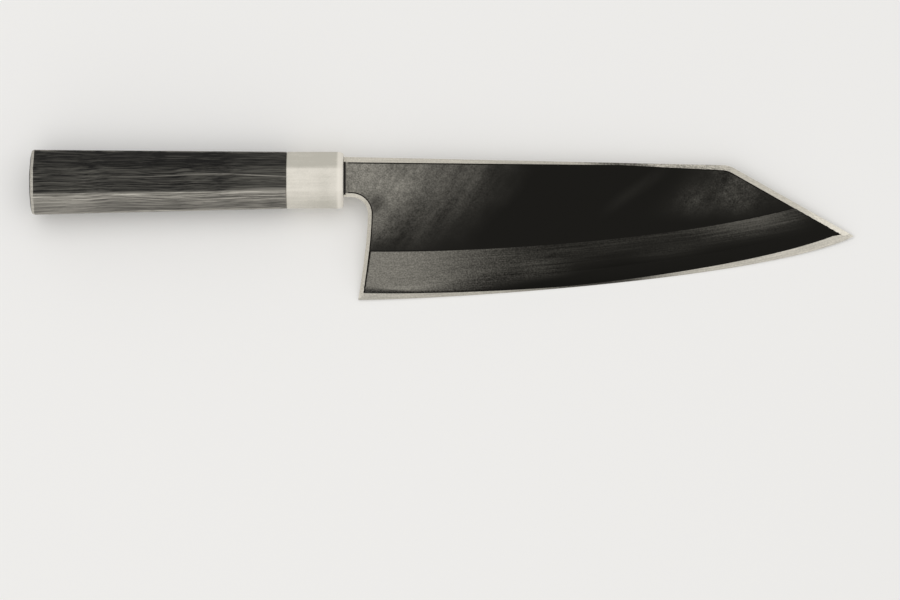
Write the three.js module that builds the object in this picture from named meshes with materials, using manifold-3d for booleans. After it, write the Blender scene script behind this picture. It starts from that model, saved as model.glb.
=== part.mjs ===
// A deba knife with an angled tip: a two-layer, single-bevel blade whose tang is hidden in an octagonal handle.
// Millimetres. X runs from the butt to the tip, Y from the cutting edge to the spine, and Z out of the bevelled
// front face, so the knife lies on its back. Blade and handle are drawn from the plane where they meet.

import * as THREE from "three";
import { mergeVertices } from "three/addons/utils/BufferGeometryUtils.js";
import Module from "manifold-3d";

const wasm = await Module();
wasm.setup();

// Handle: an octagonal ferrule and a body that widens towards the butt
const FERRULE_LENGTH = 24;
const FERRULE_HEIGHT = 24;
const FERRULE_WIDTH = 22;
const FERRULE_FACET = 7;
const FERRULE_FRONT_WALL = 6;
const FERRULE_EASE_LENGTH = 2.4;
const FERRULE_EASE_INSET = 1.1;
const BODY_LENGTH = 109;
const BUTT_HEIGHT = 27.4;
const BUTT_WIDTH = 25;
const BUTT_FACET = 8;
const BUTT_DROP = 0.85;
const BUTT_EASE_LENGTH = 1.2;
const BUTT_EASE_INSET = 0.9;
const BUTT_DOME_RISE = 0.8;
const BUTT_DOME_INSET = 6;

// Tang, and the dowel that carries it across the joint between ferrule and body
const TANG_LENGTH = 92;
const TANG_ROOT_HEIGHT = 10;
const TANG_TIP_HEIGHT = 6;
const TANG_ROOT_THICKNESS = 4.6;
const TANG_TIP_THICKNESS = 3;
const TANG_RISE = 0.8;
const TANG_EMBED = 4;
const DOWEL_WALL = 1.2;
const DOWEL_END_WALL = 6;
const FIT = 0.2;

// Neck: two shoulders stand against the ferrule, and the recess between them holds the seal
const SEAT_GAP = 0.2;
const RECESS_DEPTH = 0.8;
const RECESS_MARGIN = 2;
const SHOULDER_TOP = 2.1;
const SHOULDER_BOTTOM = 1;
const SEAL_POCKET = 2.4;
const SEAL_WALL = 0.8;
const NECK_LENGTH = 3.2;
const STEEL_SETBACK = 1.8;

// Blade outline, measured from the shoulders and from the handle's axis
const TIP_REACH = 217;
const TIP_DROP = 23.7;
const TIP_CUT_RUN = 53.3;
const SPINE_FALL = 3.5;
const CORNER_EASE = 2.5;
const HEEL_DROP = 50.8;
const HEEL_RAKE = 4.2;
const CHOIL_RADIUS = 7;
const CHOIL_BEND = 12;
const EDGE_FLAT_RUN = 34;
const BELLY_RUN = 36.5;
const BELLY_DROP = 18.3;

// Blade section
const SPINE_THICKNESS = 7;
const TIP_THICKNESS = 1.9;
const STEEL_AT_SHOULDER = 2.4;
const STEEL_AT_TIP = 1.2;
const FORGE_SEAM = 0.03;
const BEVEL_HEIGHT_ENDS = 20.8;
const BEVEL_HEIGHT_MIDDLE = 18.7;
const EDGE_LAND = 0.2;
const EDGE_FACET_HEEL = 2.9;
const EDGE_FACET_NARROWEST = 0.6;
const EDGE_FACET_TIP = 4;
const SPINE_CHAMFER = 2.3;
const SPINE_CHAMFER_NARROWEST = 0.9;
const TIP_CHAMFER = 2.2;
const CHOIL_CHAMFER = 1.6;
const HOLLOW_RADIUS = 520;
const HOLLOW_RIM = 4;
const HOLLOW_RUN_IN = 26;

// Ratios: where along the edge its facet is narrowest, the power by which it widens from there, how much
// steeper than the bevel it is, where along the spine its chamfer is narrowest, how deep a chamfer is for its
// width, how much of the local thickness it may take, and how far back the first step of the ferrule's easing lies
const FACET_NARROWEST_AT = 0.42;
const FACET_GROWTH = 1.4;
const FACET_STEEPER = 1.7;
const CHAMFER_NARROWEST_AT = 0.72;
const CHAMFER_PITCH = 0.73;
const CHAMFER_SHARE = 0.4;
const EASE_STEP = 1 / 3;

// How finely curves are divided
const EDGE_STEPS = 48;
const CURVE_STEPS = 10;
const EASE_STEPS = 4;
const ROUND_SIDES = 40;
const STATIONS = 56;
const HOLLOW_STEPS = 10;

// How far a cutting solid reaches past what it cuts, in the open and at a surface that it has to meet cleanly,
// and the finest detail that a piece keeps
const PAST = 3;
const PAST_SURFACE = 0.02;
const FINEST = 0.004;

// Solids

// A closed geometry as a solid that can be cut and joined, whichever way round its faces were listed.
function solidOf(geometry) {
  const bare = geometry.clone();
  bare.deleteAttribute("normal");
  bare.deleteAttribute("uv");
  const merged = mergeVertices(bare);
  const vertProperties = new Float32Array(merged.getAttribute("position").array);
  const triVerts = new Uint32Array(merged.index.array);
  const solid = new wasm.Manifold(new wasm.Mesh({ numProp: 3, vertProperties, triVerts }));
  if (solid.volume() > 0) return solid;
  return new wasm.Manifold(new wasm.Mesh({ numProp: 3, vertProperties, triVerts: triVerts.reverse() }));
}

function geometryOf(solid) {
  const mesh = solid.simplify(FINEST).getMesh();
  const geometry = new THREE.BufferGeometry();
  geometry.setAttribute("position", new THREE.BufferAttribute(mesh.vertProperties, 3));
  geometry.setIndex(new THREE.BufferAttribute(mesh.triVerts, 1));
  const faceted = geometry.toNonIndexed();
  faceted.computeVertexNormals();
  return faceted;
}

// Triangles that close one ring of points, turned the way that the ring itself turns.
function capTriangles(ring, flatten) {
  const contour = ring.map(flatten);
  const turn = Math.sign(THREE.ShapeUtils.area(contour));
  return THREE.ShapeUtils.triangulateShape(contour, []).map(([a, b, c]) => {
    const side = Math.sign(THREE.ShapeUtils.area([contour[a], contour[b], contour[c]]));
    return side === turn ? [a, b, c] : [a, c, b];
  });
}

// A solid through a row of rings with equal numbers of points. flatten gives a ring's points in its own plane.
function loft(rings, flatten) {
  const count = rings[0].length;
  const last = (rings.length - 1) * count;
  const faces = [];
  for (const [a, b, c] of capTriangles(rings[0], flatten)) faces.push(c, b, a);
  for (const [a, b, c] of capTriangles(rings.at(-1), flatten)) faces.push(last + a, last + b, last + c);
  for (let r = 0; r < last; r += count) {
    for (let i = 0; i < count; i++) {
      const next = (i + 1) % count;
      faces.push(r + i, r + next, r + count + next);
      faces.push(r + i, r + count + next, r + count + i);
    }
  }
  const geometry = new THREE.BufferGeometry().setFromPoints(rings.flat());
  geometry.setIndex(faces);
  return solidOf(geometry);
}

const acrossX = (point) => new THREE.Vector2(point.y, point.z);
const acrossZ = (point) => new THREE.Vector2(point.x, point.y);

// A rectangle across X, given by its limits in Y and Z.
function rectangleRing(x, yLow, yHigh, zLow, zHigh) {
  return [
    new THREE.Vector3(x, yLow, zLow),
    new THREE.Vector3(x, yHigh, zLow),
    new THREE.Vector3(x, yHigh, zHigh),
    new THREE.Vector3(x, yLow, zHigh),
  ];
}

// A block between two X, given by its limits in Y and Z.
function block(xLow, xHigh, yLow, yHigh, zLow, zHigh) {
  return loft([xLow, xHigh].map((x) => rectangleRing(x, yLow, yHigh, zLow, zHigh)), acrossX);
}

// A round bar along X.
function roundBar(xLow, xHigh, radius) {
  const bar = new THREE.CylinderGeometry(radius, radius, xHigh - xLow, ROUND_SIDES);
  bar.rotateZ(Math.PI / 2);
  bar.translate((xLow + xHigh) / 2, 0, 0);
  return solidOf(bar);
}

// An octagon across X with 45 degree facets, moved in by an inset on all eight sides. facet is the length that
// each facet takes off both sides that it joins.
function octagonRing(x, centreY, height, width, facet, inset) {
  const h = height / 2 - inset;
  const w = width / 2 - inset;
  const f = facet - inset * (2 - Math.SQRT2);
  const corners = [
    [h, w - f], [h - f, w], [f - h, w], [-h, w - f],
    [-h, f - w], [f - h, -w], [h - f, -w], [h, f - w],
  ];
  return corners.map(([y, z]) => new THREE.Vector3(x, centreY + y, z));
}

// Blade outline: four stretches, counter-clockwise from the spine's shoulder

const recessTop = TANG_RISE + TANG_ROOT_HEIGHT / 2 + RECESS_MARGIN;
const recessBottom = TANG_RISE - TANG_ROOT_HEIGHT / 2 - RECESS_MARGIN;
const neckBottom = recessBottom - SHOULDER_BOTTOM;
const choilX = NECK_LENGTH + CHOIL_RADIUS;
const tip = new THREE.Vector2(TIP_REACH, -TIP_DROP);
const heel = new THREE.Vector2(choilX - HEEL_RAKE, -HEEL_DROP);
const spineEnd = new THREE.Vector2(0, recessTop + SHOULDER_TOP);
const spineCorner = new THREE.Vector2(TIP_REACH - TIP_CUT_RUN, spineEnd.y - SPINE_FALL);
const cuttingEdge = new THREE.CubicBezierCurve(
  heel,
  new THREE.Vector2(heel.x + EDGE_FLAT_RUN, heel.y),
  new THREE.Vector2(tip.x - BELLY_RUN, tip.y - BELLY_DROP),
  tip,
);

function shoulderPoints() {
  return [
    spineEnd,
    new THREE.Vector2(0, recessTop),
    new THREE.Vector2(RECESS_DEPTH, recessTop),
    new THREE.Vector2(RECESS_DEPTH, recessBottom),
    new THREE.Vector2(0, recessBottom),
  ];
}

// The underside of the neck, the quarter round under it, and the choil down to the heel.
function choilPoints() {
  const path = new THREE.Path();
  path.moveTo(0, neckBottom);
  path.lineTo(NECK_LENGTH, neckBottom);
  path.absarc(NECK_LENGTH, neckBottom - CHOIL_RADIUS, CHOIL_RADIUS, Math.PI / 2, 0, true);
  path.quadraticCurveTo(choilX, neckBottom - CHOIL_RADIUS - CHOIL_BEND, heel.x, heel.y);
  return path.getPoints(CURVE_STEPS);
}

// The angled cut back from the tip, the eased corner and the straight spine.
function spinePoints() {
  const beforeCorner = spineCorner.clone().add(tip.clone().sub(spineCorner).setLength(CORNER_EASE));
  const afterCorner = spineCorner.clone().add(spineEnd.clone().sub(spineCorner).setLength(CORNER_EASE));
  const ease = new THREE.QuadraticBezierCurve(beforeCorner, spineCorner, afterCorner);
  return [tip, ...ease.getPoints(EASE_STEPS), spineEnd];
}

function bladeOutline() {
  const edge = cuttingEdge.getPoints(EDGE_STEPS);
  return [...shoulderPoints(), ...choilPoints(), ...edge.slice(1), ...spinePoints().slice(1, -1)];
}

// Blade surfaces, as heights over the outline

const backZ = -SPINE_THICKNESS / 2;
const edgeZ = backZ + EDGE_LAND;
const alongBlade = (x) => THREE.MathUtils.clamp(x / TIP_REACH, 0, 1);
const alongEdge = (x) => THREE.MathUtils.clamp((x - heel.x) / (tip.x - heel.x), 0, 1);

// The height of the flat front face, which thins evenly towards the tip.
function frontZ(x) {
  return backZ + THREE.MathUtils.lerp(SPINE_THICKNESS, TIP_THICKNESS, x / TIP_REACH);
}

// The height of the weld between the hard steel behind and the soft iron in front.
function weldZ(x) {
  return backZ + THREE.MathUtils.lerp(STEEL_AT_SHOULDER, STEEL_AT_TIP, x / TIP_REACH);
}

// The cutting edge's Y at a given X, level past both ends.
function edgeY(x) {
  let [low, high] = [0, 1];
  while (high - low > 1e-7) {
    const middle = (low + high) / 2;
    if (cuttingEdge.getPoint(middle).x < x) low = middle;
    else high = middle;
  }
  return cuttingEdge.getPoint(low).y;
}

// The spine's Y at a given X, or that of the angled cut past the corner.
function spineY(x) {
  const end = x > spineCorner.x ? tip : spineEnd;
  return THREE.MathUtils.mapLinear(x, spineCorner.x, end.x, spineCorner.y, end.y);
}

// The main bevel and the steeper facet along the edge, at one station of the blade.
function bevelAt(x) {
  const fromMiddle = 2 * alongBlade(x) - 1;
  const height = THREE.MathUtils.lerp(BEVEL_HEIGHT_MIDDLE, BEVEL_HEIGHT_ENDS, fromMiddle ** 2);
  const share = alongEdge(x);
  const nearHeel = share < FACET_NARROWEST_AT;
  const facetAtEnd = nearHeel ? EDGE_FACET_HEEL : EDGE_FACET_TIP;
  const endAt = nearHeel ? 0 : 1;
  const towardsEnd = (share - FACET_NARROWEST_AT) / (endAt - FACET_NARROWEST_AT);
  const facet = THREE.MathUtils.lerp(EDGE_FACET_NARROWEST, facetAtEnd, towardsEnd ** FACET_GROWTH);
  const facetSlope = (FACET_STEEPER * (frontZ(x) - edgeZ)) / height;
  const edge = edgeY(x);
  const facetZ = edgeZ + facet * facetSlope;
  const slope = (frontZ(x) - facetZ) / (height - facet);
  return { edge, facetTop: edge + facet, ridge: edge + height, facetZ, slope, facetSlope };
}

// The front surface at a point of the outline: flat above the ridge, bevelled below it.
function surfaceZ(x, y) {
  const bevel = bevelAt(x);
  if (y >= bevel.ridge) return frontZ(x);
  if (y >= bevel.facetTop) return bevel.facetZ + bevel.slope * (y - bevel.facetTop);
  return edgeZ + bevel.facetSlope * Math.max(y - bevel.edge, 0);
}

// Solids that grind the blade

// What the bevel and the edge facet take off the front, from past the heel to past the tip.
function bevelCutter() {
  const rings = [];
  for (let i = 0; i <= STATIONS; i++) {
    const x = THREE.MathUtils.lerp(-PAST, tip.x + PAST, i / STATIONS);
    const bevel = bevelAt(x);
    const [above, below] = [bevel.ridge + PAST, bevel.edge - PAST];
    const aboveZ = frontZ(x) + bevel.slope * PAST;
    const section = [
      [above, aboveZ],
      [above, aboveZ + PAST],
      [below, aboveZ + PAST],
      [below, edgeZ - bevel.facetSlope * PAST],
      [bevel.facetTop, bevel.facetZ],
    ];
    rings.push(section.map(([y, z]) => new THREE.Vector3(x, y, z)));
  }
  return loft(rings, acrossX);
}

// The unit vector to the left of a path at each of its points.
function leftNormals(path) {
  return path.map((point, i) => {
    const before = path[Math.max(i - 1, 0)];
    const after = path[Math.min(i + 1, path.length - 1)];
    const along = after.clone().sub(before).normalize();
    return new THREE.Vector2(-along.y, along.x);
  });
}

// A path in short steps, with both ends carried straight on so that a cut along it leaves nothing standing.
// The steps fall between the path's own points, so that a cut never runs through a corner of the outline.
function carriedOn(path) {
  const [first, second] = path;
  const [beforeLast, last] = path.slice(-2);
  const steps = [first.clone().add(first.clone().sub(second).setLength(PAST))];
  for (let i = 1; i < path.length; i++) {
    const count = Math.ceil(path[i].distanceTo(path[i - 1]) / PAST);
    for (let k = 0; k < count; k++) steps.push(path[i - 1].clone().lerp(path[i], (k + 0.5) / count));
  }
  steps.push(last.clone().add(last.clone().sub(beforeLast).setLength(PAST)));
  return steps;
}

// The width of the chamfer at a point of the spine: wide at the shoulders and along the angled cut.
function spineChamferAt(x) {
  const narrowest = CHAMFER_NARROWEST_AT * spineCorner.x;
  const [widestX, widest] = x < narrowest ? [spineEnd.x, SPINE_CHAMFER] : [spineCorner.x, TIP_CHAMFER];
  const towardsWidest = THREE.MathUtils.clamp((x - narrowest) / (widestX - narrowest), 0, 1);
  return THREE.MathUtils.lerp(SPINE_CHAMFER_NARROWEST, widest, towardsWidest);
}

// What a chamfer takes off the front along one stretch of the outline, which has the blade on its left. widthAt
// gives its width at a given X. Its section is a triangle that lies above the chamfer's plane.
function chamferCutter(stretch, widthAt) {
  const path = carriedOn(stretch);
  const normals = leftNormals(path);
  const rings = path.map((point, i) => {
    const at = (inward) => point.clone().addScaledVector(normals[i], inward);
    const onSurface = (place) => surfaceZ(place.x, place.y);
    const width = widthAt(point.x);
    const depth = Math.min(CHAMFER_PITCH * width, CHAMFER_SHARE * (onSurface(point) - backZ));
    const low = onSurface(point) - depth;
    const slope = (onSurface(at(width)) - low) / width;
    const outside = -width / 2;
    const inside = width * 1.5;
    const corners = [
      [outside, low + slope * outside],
      [inside, low + slope * inside],
      [outside, low + slope * inside + PAST],
    ];
    return corners.map(([inward, z]) => new THREE.Vector3(...at(inward).toArray(), z));
  });
  const alongPath = (corner) => new THREE.Vector2(corner.z, corner.x + corner.y);
  return loft(rings, alongPath);
}

// The shallow hollow in the back: a wheel's arc across the blade at every station, deeper from the heel on.
function hollowCutter() {
  const rings = [];
  const start = heel.x + HOLLOW_RUN_IN / 2;
  for (let i = 0; i <= STATIONS; i++) {
    const x = THREE.MathUtils.lerp(start, tip.x, i / STATIONS);
    const [low, high] = [edgeY(x) + HOLLOW_RIM, spineY(x) - HOLLOW_RIM];
    if (high - low < HOLLOW_RIM) break;
    const runIn = THREE.MathUtils.smoothstep(x + PAST, start, start + HOLLOW_RUN_IN);
    const deepest = (runIn * (high - low) ** 2) / (8 * HOLLOW_RADIUS);
    const ring = [];
    for (let s = 0; s <= HOLLOW_STEPS; s++) {
      const across = s / HOLLOW_STEPS;
      const z = backZ - PAST_SURFACE + 4 * deepest * across * (1 - across);
      ring.push(new THREE.Vector3(x, THREE.MathUtils.lerp(low, high, across), z));
    }
    ring.push(new THREE.Vector3(x, high, backZ - PAST), new THREE.Vector3(x, low, backZ - PAST));
    rings.push(ring);
  }
  return loft(rings, acrossX);
}

// The share of the blade behind the weld, grown by the seam. The neck is left out: there the iron is whole.
function steelRegion(grow) {
  const yHigh = spineEnd.y + PAST;
  const layer = [-PAST, tip.x + PAST].map((x) =>
    rectangleRing(x, heel.y - PAST, yHigh, backZ - PAST, weldZ(x) + grow),
  );
  const neckEnd = choilX + STEEL_SETBACK - grow;
  const neckLow = neckBottom - CHOIL_RADIUS - STEEL_SETBACK + grow;
  const neck = block(-2 * PAST, neckEnd, neckLow, yHigh + PAST, backZ - 2 * PAST, -backZ);
  return loft(layer, acrossX).subtract(neck);
}

// The tang, grown by a clearance for the slots that hold it.
function tangSolid(grow) {
  const section = (x, height, thickness) => {
    const [h, t] = [height / 2 + grow, thickness / 2 + grow];
    return rectangleRing(x, TANG_RISE - h, TANG_RISE + h, -t, t);
  };
  return loft(
    [
      section(TANG_EMBED, TANG_ROOT_HEIGHT, TANG_ROOT_THICKNESS),
      section(0, TANG_ROOT_HEIGHT, TANG_ROOT_THICKNESS),
      section(-TANG_LENGTH - grow, TANG_TIP_HEIGHT, TANG_TIP_THICKNESS),
    ],
    acrossX,
  );
}

function groundBlade() {
  const outline = bladeOutline();
  const ring = (zAt) => outline.map((point) => new THREE.Vector3(point.x, point.y, zAt(point.x)));
  return loft([ring(() => backZ), ring(frontZ)], acrossZ)
    .subtract(bevelCutter())
    .subtract(chamferCutter(choilPoints(), () => CHOIL_CHAMFER))
    .subtract(chamferCutter(spinePoints(), spineChamferAt))
    .subtract(hollowCutter());
}

// Handle places along X, and the dowel's bore

const handleFront = -SEAT_GAP;
const handleJoint = handleFront - FERRULE_LENGTH;
const butt = handleJoint - BODY_LENGTH;
const slotHalfThickness = TANG_ROOT_THICKNESS / 2 + FIT;
const slotReach = Math.abs(TANG_RISE) + TANG_ROOT_HEIGHT / 2 + FIT;
const dowelRadius = Math.hypot(slotReach, slotHalfThickness) + DOWEL_WALL;
const dowelFront = handleFront - FERRULE_FRONT_WALL - FIT;
const dowelBack = -TANG_LENGTH - FIT - DOWEL_END_WALL;

const dowelBore = () => roundBar(dowelBack - FIT, dowelFront + FIT, dowelRadius + FIT);

function ferruleRing(x, inset) {
  return octagonRing(x, 0, FERRULE_HEIGHT, FERRULE_WIDTH, FERRULE_FACET, inset);
}

function buttRing(x, inset) {
  return octagonRing(x, -BUTT_DROP, BUTT_HEIGHT, BUTT_WIDTH, BUTT_FACET, inset);
}

// The seal's outer form up to a given X, grown by a clearance for the pocket that holds it.
function sealBlock(xHigh, grow) {
  const xLow = handleFront - SEAL_POCKET - grow;
  const [yLow, yHigh] = [recessBottom + FIT - grow, recessTop - FIT + grow];
  const z = slotHalfThickness + SEAL_WALL + grow;
  return block(xLow, xHigh, yLow, yHigh, -z, z);
}

// Pieces, each with its own finish

function piece(name, solid, finish) {
  const mesh = new THREE.Mesh(geometryOf(solid), new THREE.MeshStandardMaterial(finish));
  mesh.name = name;
  return mesh;
}

function ironBladeBody(ground) {
  const solid = ground.subtract(steelRegion(FORGE_SEAM)).add(tangSolid(0));
  return piece("iron_blade_body", solid, { color: 0x35342f, metalness: 0.9, roughness: 0.45 });
}

function steelEdgePlate(ground) {
  const solid = ground.intersect(steelRegion(0));
  return piece("steel_edge_plate", solid, { color: 0x8f8d86, metalness: 1, roughness: 0.3 });
}

function neckSeal() {
  const solid = sealBlock(RECESS_DEPTH - FIT, 0).subtract(tangSolid(FIT));
  return piece("neck_seal", solid, { color: 0x14110e, metalness: 0, roughness: 0.5 });
}

function ferrule() {
  const outside = [
    ferruleRing(handleJoint, 0),
    ferruleRing(handleFront - FERRULE_EASE_LENGTH, 0),
    ferruleRing(handleFront - FERRULE_EASE_LENGTH * EASE_STEP, FERRULE_EASE_INSET * EASE_STEP),
    ferruleRing(handleFront, FERRULE_EASE_INSET),
  ];
  const solid = loft(outside, acrossX)
    .subtract(dowelBore())
    .subtract(tangSolid(FIT))
    .subtract(sealBlock(PAST, FIT));
  return piece("ferrule", solid, { color: 0xd8d3c7, metalness: 0, roughness: 0.35 });
}

function handleBody() {
  const outside = [
    ferruleRing(handleJoint, 0),
    buttRing(butt + BUTT_DOME_RISE + BUTT_EASE_LENGTH, 0),
    buttRing(butt + BUTT_DOME_RISE, BUTT_EASE_INSET),
    buttRing(butt, BUTT_DOME_INSET),
  ];
  const solid = loft(outside, acrossX).subtract(dowelBore());
  return piece("handle_body", solid, { color: 0x3a3935, metalness: 0, roughness: 0.45 });
}

function tangDowel() {
  const solid = roundBar(dowelBack, dowelFront, dowelRadius).subtract(tangSolid(FIT));
  return piece("tang_dowel", solid, { color: 0xc9b48e, metalness: 0, roughness: 0.7 });
}

// The knife, moved so that its origin is the middle of the surface it lies on

const blade = new THREE.Group();
const ground = groundBlade();
blade.add(ironBladeBody(ground), steelEdgePlate(ground));

const handle = new THREE.Group();
handle.add(ferrule(), handleBody(), tangDowel());

const knife = new THREE.Group();
knife.add(blade, neckSeal(), handle);
const box = new THREE.Box3().setFromObject(knife);
const middle = box.getCenter(new THREE.Vector3());
knife.position.set(-middle.x, -middle.y, -box.min.z);

export default knife;
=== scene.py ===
import math

import bpy
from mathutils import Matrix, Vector


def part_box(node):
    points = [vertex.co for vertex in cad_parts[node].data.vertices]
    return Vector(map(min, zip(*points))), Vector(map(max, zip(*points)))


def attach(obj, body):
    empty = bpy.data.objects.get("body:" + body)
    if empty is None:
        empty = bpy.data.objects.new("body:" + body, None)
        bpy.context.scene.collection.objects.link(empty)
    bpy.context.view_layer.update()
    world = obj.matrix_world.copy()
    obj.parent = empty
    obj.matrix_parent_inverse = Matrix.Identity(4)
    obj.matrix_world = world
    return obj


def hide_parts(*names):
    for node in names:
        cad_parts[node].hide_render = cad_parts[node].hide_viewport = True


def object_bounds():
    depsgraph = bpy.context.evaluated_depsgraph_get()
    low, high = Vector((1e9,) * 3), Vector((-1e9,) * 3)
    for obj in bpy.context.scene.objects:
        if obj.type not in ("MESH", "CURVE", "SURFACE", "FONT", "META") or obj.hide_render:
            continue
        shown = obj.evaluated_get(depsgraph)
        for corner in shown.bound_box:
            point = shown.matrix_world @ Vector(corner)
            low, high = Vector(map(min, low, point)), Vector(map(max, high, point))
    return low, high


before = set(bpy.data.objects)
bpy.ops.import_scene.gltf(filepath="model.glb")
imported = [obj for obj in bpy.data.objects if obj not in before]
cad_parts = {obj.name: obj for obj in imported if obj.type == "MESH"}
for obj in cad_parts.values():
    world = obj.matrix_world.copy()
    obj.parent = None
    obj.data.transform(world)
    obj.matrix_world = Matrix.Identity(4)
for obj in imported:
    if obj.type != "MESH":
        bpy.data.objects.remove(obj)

cad_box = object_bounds()

# Units: the scene is in metres, and patterns are drawn in millimetres
MM = 0.001
PER_MM = 1 / MM

# Frame of the picture, and the knife's scale and place in it
PICTURE_WIDTH = 900
PICTURE_HEIGHT = 600
PIXEL = 0.425 * MM
FERRULE_FRONT_PIXEL = 343.5
HANDLE_AXIS_PIXEL = 180.3
LENS = 200
SENSOR = 36

# Handle: facets, rounded arrises, the ferrule's eased front, the joint's groove, the domed butt and cuts
FERRULE_FACET = 7 * MM
FERRULE_ARRIS = 0.4 * MM
FERRULE_EASE_LENGTH = 2.4 * MM
FERRULE_EASE_INSET = 1.1 * MM
JOINT_EASE = 0.3 * MM
BODY_ARRIS = 0.8 * MM
BUTT_EASE_LENGTH = 1.2 * MM
BUTT_EASE_INSET = 0.9 * MM
BUTT_DOME_RISE = 0.8 * MM
BUTT_DOME_INSET = 6 * MM
ARRIS_STEPS = 3
EASE_STEPS = 5
FIT = 0.2 * MM
BORE_SIDES = 48
SLOT_MARGIN = 1.6 * MM
SLOT_THICKNESS = 5 * MM

# Blade: how finely its copies are merged, where its ground surfaces end, and the painted shadow line inside
# the bands
MERGE = 0.04 * MM
OUTLINE_MERGE = 0.3 * MM
FLATNESS = 0.01 * MM
EDGE_LAND = 0.25 * MM
HEEL_REACH = 3.1 * MM
TIP_BAND = 5 * MM
CHOIL_REACH = 16 * MM
SHADOW_LINE_WIDTH = 0.8 * MM

# Seal of the neck: its rounding, how far it fills its clearance, and the gap between ferrule and shoulder
SEAL_ROUND = 0.1 * MM
SEAL_FILL = 0.18 * MM
SEAT_GAP = 0.2 * MM

# Angles up to which faces count as one plane, and up to which an edge is shaded smooth
PLANE_ANGLE = math.radians(1)
SMOOTH_ANGLE = math.radians(25)

# Directions: the share that has to lie along an axis, the two ends of a bar and the two sides of an outline
ALONG_AXIS = 0.9
FRONT, BUTT = 1, -1
LOWER, UPPER = 1, -1

# Painted light on the wood's faces (plain, a painted sheen on the lower facets, painted highlights on the
# arrises and round the butt), the share of the butt's dome that stays dark, and normals of facets and
# arrises
DARK, PAINTED_SHEEN, PAINTED_HIGHLIGHT, PAINTED_TOP_HIGHLIGHT, PAINTED_BUTT_HIGHLIGHT = range(5)
DARK_DOME = 0.9
SIDEWAYS = 0.5
LOWER_FACET = -math.sqrt(0.5)
FACET_REACH = 0.05
INNER_ARRIS = (-0.7, -0.3)
OUTER_ARRIS = 0.74
OFF_UPRIGHT = 0.12

# Ground surfaces of the blade, and the tilts that tell its sides and chamfers
FLAT, BEVEL, CHAMFER, EDGE, SIDE, RIM, HOLLOW = range(7)
SIDE_TILT = 0.4
TO_SPINE = Vector((0.5, 0.866, 0))
SPINE_TILT = 0.02
HEEL_TILT = 0.2
NECK_TILT = 0.3

# Light, in the strength at which a colour renders about as it is written, and the floor
SEEN_PALE = (0.82, 0.81, 0.79, 1)
WHITE = (1, 1, 1, 1)
SKY_LIGHT = 0.6
SOFTBOX_SIZE = 2.4
SOFTBOX_PLACE = (-0.25, 0.25, 1.7)
SOFTBOX_WATTS = 15
STRIP_LENGTH = 1.6
STRIP_HEIGHT = 0.3
STRIP_PLACE = (-0.1, -1.3, 0.28)
STRIP_WATTS = 1.5
FLOOR_COLOUR = (0.93, 0.92, 0.9, 1)
FLOOR_SIZE = 12
FLOOR_FADE = (1.0, 4.0)
FLOOR_GAP = 0.03 * MM


def srgb(red, green, blue):
    """A colour given as 0 to 255, as a shader takes it."""
    def linear(level):
        share = level / 255
        return share / 12.92 if share <= 0.04045 else ((share + 0.055) / 1.055) ** 2.4
    return (linear(red), linear(green), linear(blue), 1)


# Places that the frame gives
ferrule_low, ferrule_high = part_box("ferrule")
body_low, body_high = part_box("handle_body")
dowel_low, dowel_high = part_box("tang_dowel")
seal_low, seal_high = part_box("neck_seal")
steel_low, steel_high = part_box("steel_edge_plate")
ferrule_centre = (ferrule_low + ferrule_high) / 2
ferrule_half = (ferrule_high - ferrule_low) / 2
shoulder = Vector((ferrule_high.x + SEAT_GAP, ferrule_centre.y, ferrule_centre.z))
back_z = steel_low.z
butt_rim = body_low.x + BUTT_DOME_RISE + BUTT_EASE_LENGTH


# Selecting and shaping

def only(piece):
    """Makes a piece the only one selected, and the active one."""
    bpy.ops.object.select_all(action="DESELECT")
    piece.select_set(True)
    bpy.context.view_layer.objects.active = piece


def pick(piece, elements, wanted):
    """In edit mode, selects just those faces or edges that are wanted."""
    bpy.ops.mesh.select_all(action="DESELECT")
    kind = "FACE" if elements == "polygons" else "EDGE"
    bpy.ops.mesh.select_mode(type=kind)
    bpy.ops.object.mode_set(mode="OBJECT")
    for element in getattr(piece.data, elements):
        element.select = wanted(element)
    bpy.ops.object.mode_set(mode="EDIT")


def pick_end(piece, end):
    """Selects the flat face at one end of a bar along X."""
    pick(piece, "polygons", lambda face: face.normal.x * end > ALONG_AXIS)


def pick_arrises(piece):
    """Selects the edges that run along a bar."""
    corners = piece.data.vertices

    def runs_along(edge):
        first, second = (corners[i].co for i in edge.vertices)
        run = second - first
        return abs(run.x) > ALONG_AXIS * run.length
    pick(piece, "edges", runs_along)


def give(piece, finishes):
    """Adds finishes to a piece, in their order."""
    for finish in finishes:
        piece.data.materials.append(finish)


def cut(piece, cutter):
    """Takes the cutter's shape out of a piece, and removes the cutter."""
    only(piece)
    modifier = piece.modifiers.new("cut", "BOOLEAN")
    modifier.operation = "DIFFERENCE"
    modifier.solver = "EXACT"
    modifier.object = cutter
    bpy.ops.object.modifier_apply(modifier=modifier.name)
    bpy.data.objects.remove(cutter)


def block(name, low, high):
    """A plain block between two corners."""
    bpy.ops.object.select_all(action="DESELECT")
    bpy.ops.mesh.primitive_cube_add(size=1, location=(low + high) / 2, scale=high - low)
    piece = bpy.context.object
    piece.name = name
    bpy.ops.object.transform_apply(location=True, rotation=True, scale=True)
    return piece


def bore(low, high, grow):
    """The round bar that fills a box along X, grown by a clearance, as a cutter."""
    bpy.ops.object.select_all(action="DESELECT")
    bpy.ops.mesh.primitive_cylinder_add(
        vertices=BORE_SIDES,
        radius=(high.z - low.z) / 2 + grow,
        depth=high.x - low.x + 2 * grow,
        location=(low + high) / 2,
        rotation=(0, math.pi / 2, 0),
    )
    bpy.ops.object.transform_apply(location=True, rotation=True, scale=True)
    return bpy.context.object


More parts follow.
